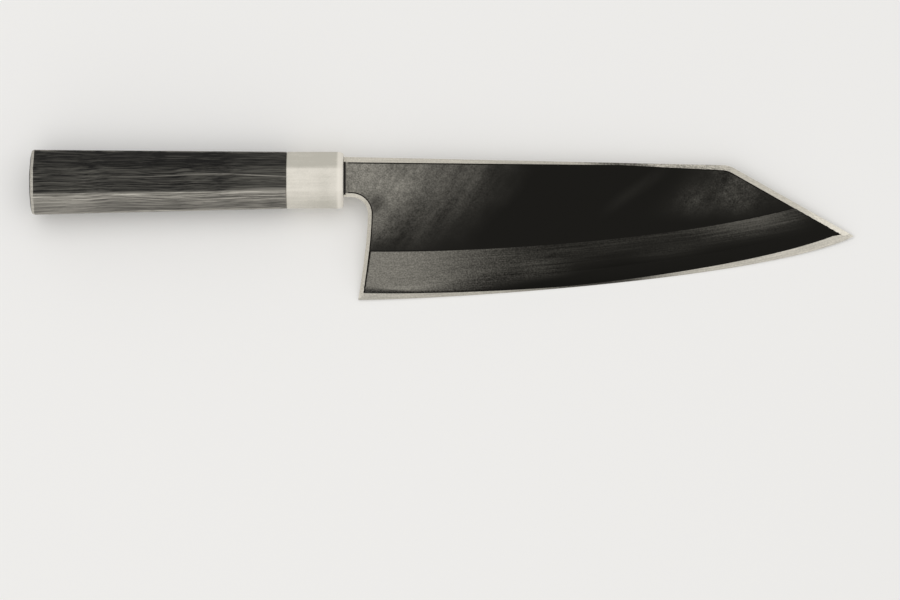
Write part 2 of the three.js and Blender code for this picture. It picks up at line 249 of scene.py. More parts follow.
def octagon(name, low, high, facet):
    """A bar along X with eight sides, left in edit mode."""
    piece = block(name, low, high)
    bpy.ops.object.mode_set(mode="EDIT")
    pick_arrises(piece)
    bpy.ops.mesh.bevel(offset=facet, segments=1, affect="EDGES")
    return piece


def carry_end(end, middle, half, rise, inset_from, inset_to):
    """Extrudes the selected end face along X and narrows it from one inset to the next."""
    bpy.ops.mesh.extrude_region_move(TRANSFORM_OT_translate={"value": (rise * end, 0, 0)})
    narrowing = [(size - inset_to) / (size - inset_from) for size in (half.y, half.z)]
    bpy.ops.transform.resize(value=(1, *narrowing), center_override=middle)


def rounded_end(end, middle, half, length, inset):
    """Eases the selected end face over in a quarter round, in a few steps."""
    done = 0
    reached = 0
    for step in range(1, EASE_STEPS + 1):
        turn = step / EASE_STEPS * math.pi / 2
        along, inward = length * math.sin(turn), inset * (1 - math.cos(turn))
        carry_end(end, middle, half, along - done, reached, inward)
        done, reached = along, inward


def domed_end(end, middle, half):
    """Domes the selected, eased butt face in a few steps."""
    run = BUTT_DOME_INSET - BUTT_EASE_INSET
    for step in range(EASE_STEPS):
        near, far = step / EASE_STEPS, (step + 1) / EASE_STEPS
        rise = BUTT_DOME_RISE * ((1 - near) ** 2 - (1 - far) ** 2)
        carry_end(end, middle, half, rise, BUTT_EASE_INSET + run * near, BUTT_EASE_INSET + run * far)


def merged_copy(node, name):
    """A copy of a CAD node as one connected mesh, with no finish of its own yet."""
    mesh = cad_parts[node].data.copy()
    piece = bpy.data.objects.new(name, mesh)
    bpy.context.scene.collection.objects.link(piece)
    mesh.materials.clear()
    only(piece)
    bpy.ops.mesh.customdata_custom_splitnormals_clear()
    bpy.ops.object.mode_set(mode="EDIT")
    bpy.ops.mesh.select_all(action="SELECT")
    bpy.ops.mesh.remove_doubles(threshold=MERGE)
    bpy.ops.object.mode_set(mode="OBJECT")
    return piece


def smoothed(piece):
    """Shades a piece smooth, apart from its hard edges."""
    only(piece)
    bpy.ops.object.shade_smooth_by_angle(angle=SMOOTH_ANGLE)
    return piece


# Handle

def wood_finish(face):
    """A face's painted light: a painted sheen on the lower facets, and painted highlights at the arrises
    and round the butt.
    """
    normal = face.normal
    if body_low.x + BUTT_DOME_RISE * DARK_DOME < face.center.x < butt_rim:
        return PAINTED_BUTT_HIGHLIGHT
    if abs(normal.x) >= SIDEWAYS:
        return DARK
    if abs(normal.y - LOWER_FACET) < FACET_REACH:
        return PAINTED_SHEEN
    outer_arris = abs(normal.y) > OUTER_ARRIS and abs(normal.z) > OFF_UPRIGHT
    if outer_arris and normal.y > 0:
        return PAINTED_TOP_HIGHLIGHT
    if outer_arris or INNER_ARRIS[0] < normal.y < INNER_ARRIS[1]:
        return PAINTED_HIGHLIGHT
    return DARK


def handle_wood(finishes):
    """The octagonal wood, growing from the ferrule's size to the butt, with a bore for the dowel."""
    low = Vector((butt_rim, ferrule_low.y, ferrule_low.z))
    high = Vector((body_high.x - JOINT_EASE, ferrule_high.y, ferrule_high.z))
    piece = octagon("handle_wood", low, high, FERRULE_FACET)
    butt_middle = (body_low + body_high) / 2
    butt_half = (body_high - body_low) / 2

    pick_end(piece, BUTT)
    growth = (1, butt_half.y / ferrule_half.y, butt_half.z / ferrule_half.z)
    bpy.ops.transform.resize(value=growth, center_override=ferrule_centre)
    bpy.ops.transform.translate(value=(0, butt_middle.y - ferrule_centre.y, 0))
    pick_arrises(piece)
    bpy.ops.mesh.bevel(offset=BODY_ARRIS, segments=ARRIS_STEPS, affect="EDGES")

    pick_end(piece, BUTT)
    rounded_end(BUTT, butt_middle, butt_half, BUTT_EASE_LENGTH, BUTT_EASE_INSET)
    domed_end(BUTT, butt_middle, butt_half)
    pick_end(piece, FRONT)
    carry_end(FRONT, ferrule_centre, ferrule_half, JOINT_EASE, 0, JOINT_EASE)
    bpy.ops.object.mode_set(mode="OBJECT")
    cut(piece, bore(dowel_low, dowel_high, FIT))
    give(piece, finishes)
    for face in piece.data.polygons:
        face.material_index = wood_finish(face)
    return piece


def ferrule_horn(finishes):
    """The octagonal collar, eased at its front, with a dowel bore, a seal pocket and a tang slot."""
    low = Vector((ferrule_low.x + JOINT_EASE, ferrule_low.y, ferrule_low.z))
    high = Vector((ferrule_high.x - FERRULE_EASE_LENGTH, ferrule_high.y, ferrule_high.z))
    piece = octagon("ferrule_horn", low, high, FERRULE_FACET)
    pick_arrises(piece)
    bpy.ops.mesh.bevel(offset=FERRULE_ARRIS, segments=ARRIS_STEPS, affect="EDGES")
    pick_end(piece, FRONT)
    rounded_end(FRONT, ferrule_centre, ferrule_half, FERRULE_EASE_LENGTH, FERRULE_EASE_INSET)
    pick_end(piece, BUTT)
    carry_end(BUTT, ferrule_centre, ferrule_half, JOINT_EASE, 0, JOINT_EASE)
    bpy.ops.object.mode_set(mode="OBJECT")

    cut(piece, bore(dowel_low, dowel_high, FIT))
    fit = Vector((FIT, FIT, FIT))
    cut(piece, block("seal_pocket", seal_low - fit, seal_high + fit))
    slot_back = ferrule_centre.z - SLOT_THICKNESS / 2
    slot_front = ferrule_centre.z + SLOT_THICKNESS / 2
    slot_low = Vector((dowel_high.x - FIT, seal_low.y + SLOT_MARGIN, slot_back))
    slot_high = Vector((seal_high.x, seal_high.y - SLOT_MARGIN, slot_front))
    cut(piece, block("tang_slot", slot_low, slot_high))
    give(piece, finishes)
    return piece


def neck_resin(finishes):
    """The resin round the neck, swollen into its clearance and softly rounded."""
    piece = merged_copy("neck_seal", "neck_resin")
    give(piece, finishes)
    bpy.ops.object.mode_set(mode="EDIT")
    bpy.ops.mesh.select_all(action="SELECT")
    bpy.ops.mesh.dissolve_limited(angle_limit=PLANE_ANGLE)
    seal_centre = (seal_low + seal_high) / 2
    growth = 1 + 2 * SEAL_FILL / (seal_high - seal_low).y
    bpy.ops.transform.resize(value=(1, growth, 1), center_override=seal_centre)
    pick_end(piece, FRONT)
    bpy.ops.transform.translate(value=(SEAL_FILL, 0, 0))
    bpy.ops.object.mode_set(mode="OBJECT")
    modifier = piece.modifiers.new("rounding", "BEVEL")
    modifier.width = SEAL_ROUND
    modifier.segments = ARRIS_STEPS
    bpy.ops.object.modifier_apply(modifier=modifier.name)
    return piece


# Blade

def front_plane():
    """The flat of the blade as a point and a normal, from the widest front face of the iron."""
    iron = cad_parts["iron_blade_body"].data
    faces = [face for face in iron.polygons if face.normal.z > ALONG_AXIS]
    widest = max(faces, key=lambda face: face.area)
    return widest.center.copy(), widest.normal.copy()


def outline(node, side):
    """A node's lower or upper outline as points along X, where a taut string would lie."""
    corners = {(corner.co.x, corner.co.y * side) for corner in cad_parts[node].data.vertices}
    line = []
    for x, y in sorted(corners):
        while len(line) > 1:
            (ax, ay), (bx, by) = line[-2:]
            if (bx - ax) * (y - ay) - (by - ay) * (x - ax) > 0:
                break
            line.pop()
        line.append((x, y))
    return [(x, y * side) for x, y in line]


def edge_line():
    """The cutting edge as points from heel to tip."""
    line = outline("steel_edge_plate", LOWER)
    heel = min(line, key=lambda place: place[1])
    return line[line.index(heel):]


def height_over(line, place):
    """How far a place lies above a line of points along X."""
    after = next((i for i, corner in enumerate(line) if corner[0] >= place.x), len(line) - 1)
    (ax, ay), (bx, by) = line[max(after - 1, 0)], line[after]
    share = min(max((place.x - ax) / (bx - ax), 0), 1) if bx > ax else 0
    return place.y - (ay + share * (by - ay))


def blade_zone(piece, face, flat, edge):
    """Which ground surface of the blade a face lies in."""
    point, upright = flat
    normal = face.normal
    corners = [piece.data.vertices[i].co for i in face.vertices]
    if all(abs((corner - point).dot(upright)) < FLATNESS for corner in corners):
        return FLAT
    if normal.z < -SIDE_TILT:
        on_rim = max(corner.z for corner in corners) - back_z < FLATNESS
        return RIM if on_rim else HOLLOW
    if normal.z < SIDE_TILT:
        return SIDE
    to_spine = normal.dot(TO_SPINE) > SPINE_TILT
    to_heel = normal.x < -HEEL_TILT
    under_neck = normal.y < -NECK_TILT and shoulder.y - face.center.y < CHOIL_REACH
    if to_spine or to_heel or under_neck:
        return CHAMFER
    on_edge = min(corner.z for corner in corners) < back_z + EDGE_LAND
    at_heel = max(height_over(edge, corner) for corner in corners) < HEEL_REACH
    at_tip = steel_high.x - face.center.x < TIP_BAND
    return EDGE if on_edge or at_heel or at_tip else BEVEL


def inset_flat(piece):
    """Joins the flat into one face, insets it for the painted shadow line, and gives the corners inside
    that line.
    """
    bpy.ops.object.mode_set(mode="EDIT")
    pick(piece, "polygons", lambda face: face.material_index == FLAT)
    bpy.ops.mesh.dissolve_faces()
    bpy.ops.mesh.remove_doubles(threshold=OUTLINE_MERGE)
    bpy.ops.mesh.inset(thickness=SHADOW_LINE_WIDTH, depth=0, use_even_offset=True)
    bpy.ops.object.mode_set(mode="OBJECT")
    faces = [face for face in piece.data.polygons if face.select and face.material_index == FLAT]
    return {corner for face in faces for corner in face.vertices}


def sharpen_borders(piece):
    """Keeps the shading sharp where ground surfaces meet, and at every other hard edge."""
    bpy.ops.object.mode_set(mode="EDIT")
    for zone in range(len(piece.data.materials)):
        pick(piece, "polygons", lambda face: face.material_index == zone)
        bpy.ops.mesh.region_to_loop()
        bpy.ops.mesh.mark_sharp()
    bpy.ops.mesh.select_all(action="DESELECT")
    bpy.ops.mesh.edges_select_sharp(sharpness=SMOOTH_ANGLE)
    bpy.ops.mesh.mark_sharp()
    bpy.ops.object.mode_set(mode="OBJECT")


def write_heights(mesh, edge, inside):
    """Gives each corner its height over the edge, depth under the spine and place on the painted shadow
    line.
    """
    spine = outline("steel_edge_plate", UPPER)
    over_edge = mesh.attributes.new("height_over_edge", "FLOAT", "POINT")
    under_spine = mesh.attributes.new("depth_under_spine", "FLOAT", "POINT")
    painted_shadow_line = mesh.attributes.new("painted_shadow_line", "FLOAT", "POINT")
    for i, corner in enumerate(mesh.vertices):
        over_edge.data[i].value = height_over(edge, corner.co) * PER_MM
        under_spine.data[i].value = -height_over(spine, corner.co) * PER_MM
        painted_shadow_line.data[i].value = 0 if i in inside else 1


def blade_part(node, name, finishes):
    """One of the blade's two metals, with a finish for each ground surface and heights that these read."""
    piece = merged_copy(node, name)
    give(piece, finishes)
    flat = front_plane()
    edge = edge_line()
    for face in piece.data.polygons:
        face.material_index = blade_zone(piece, face, flat, edge)
        face.use_smooth = True
    inside = inset_flat(piece) if node == "iron_blade_body" else set()
    sharpen_borders(piece)
    write_heights(piece.data, edge, inside)
    return piece


# Building shaders

# Range that noise mostly keeps within, that of drawn-out noise, and the colour sockets of a Mix node
NOISE_RANGE = (0.3, 0.7)
STREAK_RANGE = (0.28, 0.72)
MIX_FIRST, MIX_SECOND, MIX_RESULT = 6, 7, 2


class Tree:
    """Adds nodes to a shader tree. A value that is a socket is linked, and a number is set."""

    def __init__(self, tree):
        self.tree = tree

    def node(self, kind, **settings):
        made = self.tree.nodes.new(kind)
        for name, value in settings.items():
            setattr(made, name, value)
        return made

    def feed(self, socket, value):
        if isinstance(value, bpy.types.NodeSocket):
            self.tree.links.new(value, socket)
        else:
            socket.default_value = value

    def math(self, operation, *values):
        made = self.node("ShaderNodeMath", operation=operation)
        for socket, value in zip(made.inputs, values):
            self.feed(socket, value)
        return made.outputs[0]

    def product(self, *values):
        result = values[0]
        for value in values[1:]:
            result = self.math("MULTIPLY", result, value)
        return result

    def sum(self, *values):
        result = values[0]
        for value in values[1:]:
            result = self.math("ADD", result, value)
        return result

    def blend(self, *textures):
        """Textures added up, each times its weight."""
        return self.sum(*(self.product(texture, weight) for texture, weight in textures))

    def ramp(self, value, start, end, low=0.0, high=1.0, shape="LINEAR"):
        """Runs from low at start to high at end, and stays level past both."""
        made = self.node("ShaderNodeMapRange", interpolation_type=shape)
        names = ("Value", "From Min", "From Max", "To Min", "To Max")
        for name, number in zip(names, (value, start, end, low, high)):
            self.feed(made.inputs[name], number)
        return made.outputs[0]

    def ease(self, value, start, end, low=0.0, high=1.0):
        """A ramp that starts and ends softly."""
        return self.ramp(value, start, end, low, high, "SMOOTHSTEP")

    def between(self, share, low, high):
        """From low to high, as the share goes from 0 to 1."""
        return self.ramp(share, 0, 1, low, high)

    def spread(self, noise, low=0.0, high=1.0):
        """Noise spread out to run from low to high."""
        return self.ramp(noise, *NOISE_RANGE, low, high)

    def near(self, value, middle, reach):
        """1 where the value is at the middle, and 0 from a reach away."""
        away = self.math("ABSOLUTE", self.math("SUBTRACT", value, middle))
        return self.ease(away, reach, 0)

    def stretch(self, value, start, full_from, full_to, end):
        """1 along a stretch of the value, fading out to 0 at its start and its end."""
        return self.product(self.ease(value, start, full_from), self.ease(value, end, full_to))

    def spot(self, directions, middle, reach, strength):
        """A soft spot with a strength at its middle, and a reach in each of two directions."""
        shares = [self.near(*axis) for axis in zip(directions, middle, reach)]
        return self.product(*shares, strength)

    def mix(self, share, first, second):
        """The first colour at a share of 0, and the second at 1."""
        made = self.node("ShaderNodeMix", data_type="RGBA")
        self.feed(made.inputs["Factor"], share)
        self.feed(made.inputs[MIX_FIRST], first)
        self.feed(made.inputs[MIX_SECOND], second)
        return made.outputs[MIX_RESULT]

    def noise(self, vector, size, detail=2.0, roughness=0.5):
        made = self.node("ShaderNodeTexNoise")
        self.feed(made.inputs["Vector"], vector)
        made.inputs["Scale"].default_value = 1 / size
        made.inputs["Detail"].default_value = detail
        made.inputs["Roughness"].default_value = roughness
        return made.outputs[0]

    def split(self, vector):
        made = self.node("ShaderNodeSeparateXYZ")
        self.feed(made.inputs[0], vector)
        return made.outputs

    def join(self, x, y, z=0.0):
        made = self.node("ShaderNodeCombineXYZ")
        for socket, value in zip(made.inputs, (x, y, z)):
            self.feed(socket, value)
        return made.outputs[0]

    def turned(self, vector, degrees):
        made = self.node("ShaderNodeVectorRotate", rotation_type="Z_AXIS")
        self.feed(made.inputs["Vector"], vector)
        made.inputs["Angle"].default_value = math.radians(degrees)
        return made.outputs[0]

    def attribute(self, name):
        return self.node("ShaderNodeAttribute", attribute_name=name).outputs["Fac"]

    def group(self, effect, **values):
        made = self.node("ShaderNodeGroup", node_tree=effect)
        for name, value in values.items():
            self.feed(made.inputs[name], value)
        return made.outputs[0]

    def place(self):
        """The point on the knife in millimetres, from the shoulder on the handle's axis."""
        coordinates = self.node("ShaderNodeTexCoord").outputs["Object"]
        mapping = self.node("ShaderNodeMapping")
        self.feed(mapping.inputs["Vector"], coordinates)
        mapping.inputs["Scale"].default_value = (PER_MM, PER_MM, PER_MM)
        mapping.inputs["Location"].default_value = -shoulder * PER_MM
        return mapping.outputs[0]


class Finish(Tree):
    """A new material with one Principled shader."""

    def __init__(self, name):
        self.material = bpy.data.materials.new(name)
        self.material.use_nodes = True
        super().__init__(self.material.node_tree)
        self.shader = self.tree.nodes["Principled BSDF"]

    def set(self, **values):
        for name, value in values.items():
            self.feed(self.shader.inputs[name.replace("_", " ")], value)

    def bump(self, height, depth):
        """Raises the surface by a height times a depth in millimetres."""
        made = self.node("ShaderNodeBump")
        made.inputs["Distance"].default_value = depth * MM
        self.feed(made.inputs["Height"], height)
        self.feed(self.shader.inputs["Normal"], made.outputs[0])


def effect(name, inputs):
    """A shader node group with a vector, some numbers and one value out."""
    group = bpy.data.node_groups.new(name, "ShaderNodeTree")
    group.interface.new_socket("Vector", in_out="INPUT", socket_type="NodeSocketVector")
    for label, number in inputs.items():
        socket = group.interface.new_socket(label, in_out="INPUT", socket_type="NodeSocketFloat")
        socket.default_value = number
    group.interface.new_socket("Value", in_out="OUTPUT", socket_type="NodeSocketFloat")
    tree = Tree(group)
    return group, tree, tree.node("NodeGroupInput").outputs, tree.node("NodeGroupOutput").inputs


def streak_effect():
    """Noise that is drawn out along X, from 0 to 1."""
    group, tree, given, out = effect("drawn_streaks", {"Length": 40.0, "Width": 1.0})
    x, y, z = tree.split(given["Vector"])
    run = tree.math("DIVIDE", x, given["Length"])
    across = tree.math("DIVIDE", y, given["Width"])
    through = tree.math("DIVIDE", z, given["Width"])
    pattern = tree.noise(tree.join(run, across, through), 1, detail=4, roughness=0.6)
    tree.feed(out["Value"], tree.ramp(pattern, *STREAK_RANGE))
    return group


def speckle_effect():
    """A fine even grain, from 0 to 1."""
    group, tree, given, out = effect("fine_speckle", {"Size": 0.6})
    made = tree.node("ShaderNodeVectorMath", operation="SCALE")
    tree.feed(made.inputs[0], given["Vector"])
    tree.feed(made.inputs["Scale"], tree.math("DIVIDE", 1.0, given["Size"]))
    pattern = tree.noise(made.outputs[0], 1, detail=2, roughness=0.65)
    tree.feed(out["Value"], tree.spread(pattern))
    return group


streaks = streak_effect()
speckle = speckle_effect()


# Finishes of the blade

# Places are in millimetres from the shoulder, x towards the tip and y towards the spine
# The iron's tone runs from 0, bare, to 1, the painted reflection at the neck, and a speck may pass that
SPECK = srgb(146, 143, 135)
BRIGHT = srgb(236, 231, 219)
BLACK = (0, 0, 0, 1)
BARE = 0.19
PAINTED_REFLECTION_TOP = 0.76
EYE = 2.2
PAINTED_STREAK_TURN = -55
WHEEL_TURN = -78


def toned(finish, tone, bare, colour):
    """A colour at a tone from 0 to 1, in steps that the eye sees as even."""
    light = finish.math("POWER", finish.between(tone, bare, 1), EYE)
    return finish.mix(light, BLACK, colour)


def painted_reflection_colour(finish, tone):
    """The iron's colour at a tone of its painted reflection."""
    return toned(finish, finish.product(tone, PAINTED_REFLECTION_TOP), BARE, SPECK)


def textured(finish, tone, fade, *textures):
    """A tone with textures of 0 to 1 added at their strengths, but not where the tone falls to nothing."""
    levels = [finish.math("MULTIPLY_ADD", texture, much, -much / 2) for texture, much in textures]
    return finish.sum(tone, finish.product(finish.sum(*levels), finish.ease(tone, 0, fade)))


def softened(finish, texture, share):
    """A texture of 0 to 1 that keeps only a share of its contrast."""
    return finish.sum(0.5, finish.product(finish.sum(texture, -0.5), share))


def painted_reflection_at_neck(finish, x, y, cloud):
    """Painted reflection that is thick at the neck and thins along the blade and towards the bevel."""
    reach = finish.sum(finish.math("MULTIPLY_ADD", cloud, 7, 80), finish.product(y, 0.85))
    spent = finish.math("POWER", finish.math("DIVIDE", x, reach), 1.1)
    left = finish.math("SUBTRACT", 1.0, spent)
    painted_reflection = finish.product(left, finish.ease(left, -0.2, 0.5), finish.ramp(y, -35, -3))
    beside_choil = finish.spot((x, y), middle=(15, -19), reach=(9, 9), strength=0.14)
    shaded = finish.spot((x, y), middle=(14, -10), reach=(7, 7), strength=-0.28)
    thinned = finish.spot((x, y), middle=(26, 5), reach=(10, 8), strength=-0.14)
    return finish.sum(painted_reflection, beside_choil, shaded, thinned)


def painted_reflection_at_tip(finish, x, y, cloud):
    """Thin, clouded painted reflection near the tip, a dab where it starts and a faint streak before that.
    """
    painted_reflection = finish.ease(finish.sum(x, finish.product(y, -0.8)), 136, 170)
    painted_reflection = finish.product(painted_reflection, finish.ease(x, 204, 158), finish.ease(y, -19, -7))
    painted_reflection = finish.product(painted_reflection, finish.ramp(cloud, -1, 1, 0.1, 0.36))
    dabbed = finish.spot((x, y), middle=(148, -9), reach=(10, 10), strength=0.09)
    faint_streak = finish.near(finish.sum(y, finish.product(x, -0.67)), -87, 5)
    faint_streak = finish.product(faint_streak, finish.stretch(x, 106, 120, 128, 142), 0.06)
    return finish.sum(painted_reflection, dabbed, faint_streak)


def iron_painted_reflection():
    """The flat of the blade: a painted reflection at the neck and the tip, streaked aslant, with a painted
    shadow line round it.
    """
    finish = Finish("iron_painted_reflection")
    place = finish.place()
    x, y, _ = finish.split(place)
    cloud = finish.spread(finish.noise(place, 20, detail=3), -1, 1)
    # Painted reflection: grey clouds at the neck and the tip, painted over the dark bare iron
    painted_reflection = finish.math("MAXIMUM", painted_reflection_at_neck(finish, x, y, cloud), painted_reflection_at_tip(finish, x, y, cloud))

    # Pale and dark strokes run aslant through the painted reflection
    painted_streaks = finish.turned(place, PAINTED_STREAK_TURN)
    across = finish.split(painted_streaks)[1]
    pale_stroke = finish.near(across, -23, 5)
    dark_stroke = finish.product(finish.near(across, -31.5, 6), -0.5)
    stroke = finish.sum(pale_stroke, dark_stroke)
    stroke = finish.product(stroke, finish.ease(y, 4, -6), finish.ease(x, 60, 30), 0.1)
    painted_reflection = finish.sum(painted_reflection, finish.product(stroke, finish.ease(painted_reflection, 0, 0.3)))

    broad = finish.group(streaks, Vector=painted_streaks, Length=40.0, Width=6.0)
    grain = finish.group(speckle, Vector=place, Size=0.65)
    mottle = finish.group(speckle, Vector=place, Size=2.4)
    coarse_in_reflection = finish.ramp(painted_reflection, 0.2, 0.85, 0.42, 1)
    coarse_at_tip = finish.ease(x, 110, 140, 0, 0.75)
    coarseness = finish.math("MAXIMUM", coarse_in_reflection, coarse_at_tip)
    specks = softened(finish, grain, coarseness)
    mottle = softened(finish, mottle, coarseness)
    painted_reflection = textured(finish, painted_reflection, 0.3, (broad, 0.28), (specks, 0.48), (mottle, 0.25))

    # Painted shadow line: the flat turns dark in a thin ring along the bands
    inside_line = finish.ease(finish.attribute("painted_shadow_line"), 0.2, 0.55, 1, 0)
    at_shoulder = finish.ease(x, 2.2, 1.4)
    painted_reflection = finish.product(painted_reflection, finish.math("MAXIMUM", inside_line, at_shoulder))
    finish.set(
        Base_Color=painted_reflection_colour(finish, painted_reflection),
        Metallic=1.0,
        Roughness=finish.between(painted_reflection, 0.32, 0.5),
    )
    finish.bump(grain, 0.012)
    return finish.material


def painted_reflection_on_bevel(finish, x, y, height):
    """Painted reflection that is thick at the heel, thin and smeared towards the tip, and clear by edge and
    choil, with painted shadow lines beside the choil and above the edge's facet.
    """
    painted_reflection = finish.product(finish.ease(x, 18, 92, 0.98, 0.17), finish.ease(x, 206, 192))
    clear_up_to = finish.sum(finish.ramp(x, 30, 62, -6, 0), finish.ramp(x, 62, 122, 0, 8))
    painted_reflection = finish.product(painted_reflection, finish.ramp(finish.math("SUBTRACT", height, clear_up_to), 0, 10))
    smear = finish.spot((x, height), middle=(84, 9), reach=(18, 6), strength=0.18)
    faint_smear = finish.spot((x, height), middle=(138, 10.5), reach=(24, 4.5), strength=0.1)
    at_tip = finish.product(finish.stretch(x, 140, 178, 178, 198), finish.ease(height, 9, 19), 0.36)

    # Painted shadow lines: the bevel is dark just past the choil and just above the edge's facet
    choil = finish.math("MULTIPLY_ADD", y, 0.16, 14.1)
    past_choil = finish.ease(finish.math("SUBTRACT", x, choil), 1.9, 2.7)
    facet_top = finish.ramp(x, 8, 60, 2.9, 0.8)
    dark_reach = finish.ramp(x, 12, 26, 3.6, 1.5)
    over_facet = finish.ease(finish.math("SUBTRACT", height, facet_top), 0.5, dark_reach, 0.3, 1)
    return finish.product(finish.sum(painted_reflection, smear, faint_smear, at_tip), past_choil, over_facet)


def ground_bevel():
    """The wide bevel: a painted reflection, with the stone's lines along it, and bright where it ends
    beside the spine.
    """
    finish = Finish("ground_bevel")
    place = finish.place()
    x, y, _ = finish.split(place)
    height = finish.attribute("height_over_edge")
    along = finish.join(x, height)
    drawn = finish.group(streaks, Vector=along, Length=34.0, Width=0.8)
    fine = finish.group(streaks, Vector=along, Length=14.0, Width=0.35)
    grain = finish.group(speckle, Vector=place, Size=0.65)
    lines = softened(finish, drawn, finish.ease(x, 30, 70, 0.3, 1))
    specks = softened(finish, grain, finish.ease(x, 50, 100, 1, 0.5))
    painted_reflection = painted_reflection_on_bevel(finish, x, y, height)
    painted_reflection = textured(finish, painted_reflection, 0.24, (lines, 0.32), (specks, 0.44), (fine, 0.16))
    beside_spine = finish.ease(finish.attribute("depth_under_spine"), 2.3, 2.1, 0, 0.68)
    finish.set(
        Base_Color=finish.mix(beside_spine, painted_reflection_colour(finish, painted_reflection), BRIGHT),
        Metallic=1.0,
        Roughness=finish.between(painted_reflection, 0.28, 0.48),
    )
    finish.bump(finish.sum(fine, grain), 0.008)
    return finish.material


def bright_chamfer():
    """The chamfers round the flat, ground bright, drier along the spine and dull where the stone missed."""
    finish = Finish("bright_chamfer")
    place = finish.place()
    x, y, _ = finish.split(place)
    grain = finish.group(speckle, Vector=place, Size=0.75)
    drawn = finish.group(streaks, Vector=place, Length=14.0, Width=0.45)
    tone = textured(finish, 0.85, 0.1, (grain, 0.08), (drawn, 0.1))
    spine = finish.product(finish.ease(x, 168, 156), finish.ease(y, -6, 0))
    dull = finish.product(finish.ease(x, 40, 80, 0, -0.05), spine)
    scratched = finish.ramp(finish.sum(grain, drawn), 0.6, 1.2, -0.2, 0.04)
    dry = finish.product(finish.ease(x, 90, 116), spine, scratched)
    upper = finish.ease(finish.attribute("depth_under_spine"), 1.7, 0.8)
    missed = finish.product(finish.stretch(x, 100, 112, 122, 134), upper, -0.28)
    tone = finish.sum(tone, dull, dry, missed)
    finish.set(
        Base_Color=toned(finish, tone, 0.0, BRIGHT),
        Metallic=1.0,
        Roughness=finish.between(drawn, 0.36, 0.52),
    )
    finish.bump(finish.sum(grain, drawn), 0.01)
    return finish.material


def bright_edge():
    """The edge's own facet, honed bright at the heel and the tip, and worn dark between them."""
    finish = Finish("bright_edge")
    place = finish.place()
    x, _, _ = finish.split(place)
    height = finish.attribute("height_over_edge")
    grain = finish.group(speckle, Vector=place, Size=0.75)
    drawn = finish.group(streaks, Vector=finish.join(x, height), Length=16.0, Width=0.4)
    worn = finish.stretch(x, 60, 110, 110, 152)
    tone = textured(finish, finish.between(worn, 0.76, 0.3), 0.1, (grain, 0.1), (drawn, 0.14))
    finish.set(
        Base_Color=toned(finish, tone, 0.0, BRIGHT),
        Metallic=1.0,
        Roughness=finish.between(drawn, 0.3, 0.46),
    )
    finish.bump(finish.sum(grain, drawn), 0.008)
    return finish.material


def forged_side():
    """Spine, choil and neck: plain ground sides, a little duller than the bands."""
    finish = Finish("forged_side")
    place = finish.place()
    drawn = finish.group(streaks, Vector=place, Length=9.0, Width=0.5)
    grain = finish.group(speckle, Vector=place, Size=0.6)
    amount = finish.blend((drawn, 0.5), (grain, 0.3))
    finish.set(
        Base_Color=finish.mix(amount, srgb(112, 110, 104), srgb(196, 192, 182)),
        Metallic=1.0,
        Roughness=finish.between(drawn, 0.35, 0.55),
    )
    finish.bump(finish.sum(grain, drawn), 0.015)
    return finish.material


def polished_rim():
    """The flat rim round the hollow back, polished on a fine stone."""
    finish = Finish("polished_rim")
    place = finish.place()
    drawn = finish.group(streaks, Vector=place, Length=25.0, Width=0.5)
    grain = finish.group(speckle, Vector=place, Size=0.5)
    amount = finish.blend((drawn, 0.5), (grain, 0.2))
    finish.set(
        Base_Color=finish.mix(amount, srgb(150, 148, 141), srgb(210, 206, 196)),
        Metallic=1.0,
        Roughness=finish.between(drawn, 0.2, 0.34),
    )
    finish.bump(drawn, 0.006)
    return finish.material


def ground_hollow():
    """The hollow back, with the wheel's lines across it and a dark bloom."""
    finish = Finish("ground_hollow")
    place = finish.place()
    drawn = finish.group(streaks, Vector=finish.turned(place, WHEEL_TURN), Length=26.0, Width=0.6)
    bloom = finish.spread(finish.noise(place, 24, detail=4, roughness=0.55), 0.6, 1.3)
    grain = finish.group(speckle, Vector=place, Size=0.6)
    amount = finish.product(finish.blend((drawn, 0.45), (grain, 0.15)), bloom)
    finish.set(
        Base_Color=finish.mix(amount, srgb(84, 82, 77), srgb(186, 182, 172)),
        Metallic=1.0,
        Roughness=finish.between(drawn, 0.3, 0.48),
    )
    finish.bump(drawn, 0.012)
    return finish.material


# Finishes of the handle

PORE = srgb(20, 19, 17)


def wood_tone(finish, place, grain, fall, at_butt, by_ferrule):
    """Tone of the wood from its grain, with painted shade on the upper facets, and changing along the
    handle.
    """
    x, y, _ = finish.split(place)
    butt_change = finish.ease(x, -114, -92, at_butt, -0.12)
    ferrule_change = finish.ease(x, -52, -38, 0, by_ferrule)
    tone = finish.sum(finish.ramp(grain, 0.32, 0.74), butt_change, ferrule_change)
    # Painted shade: the upper facets are darker
    upper = finish.ease(y, 3.5, 7)
    # For the painted sheen, the tone fades towards the foot of the lower facets
    foot = finish.ease(y, -6, -11.5, 1, fall)
    tone = finish.product(tone, finish.between(upper, 1, 0.9), foot)
    return finish.sum(tone, finish.product(upper, -0.27))


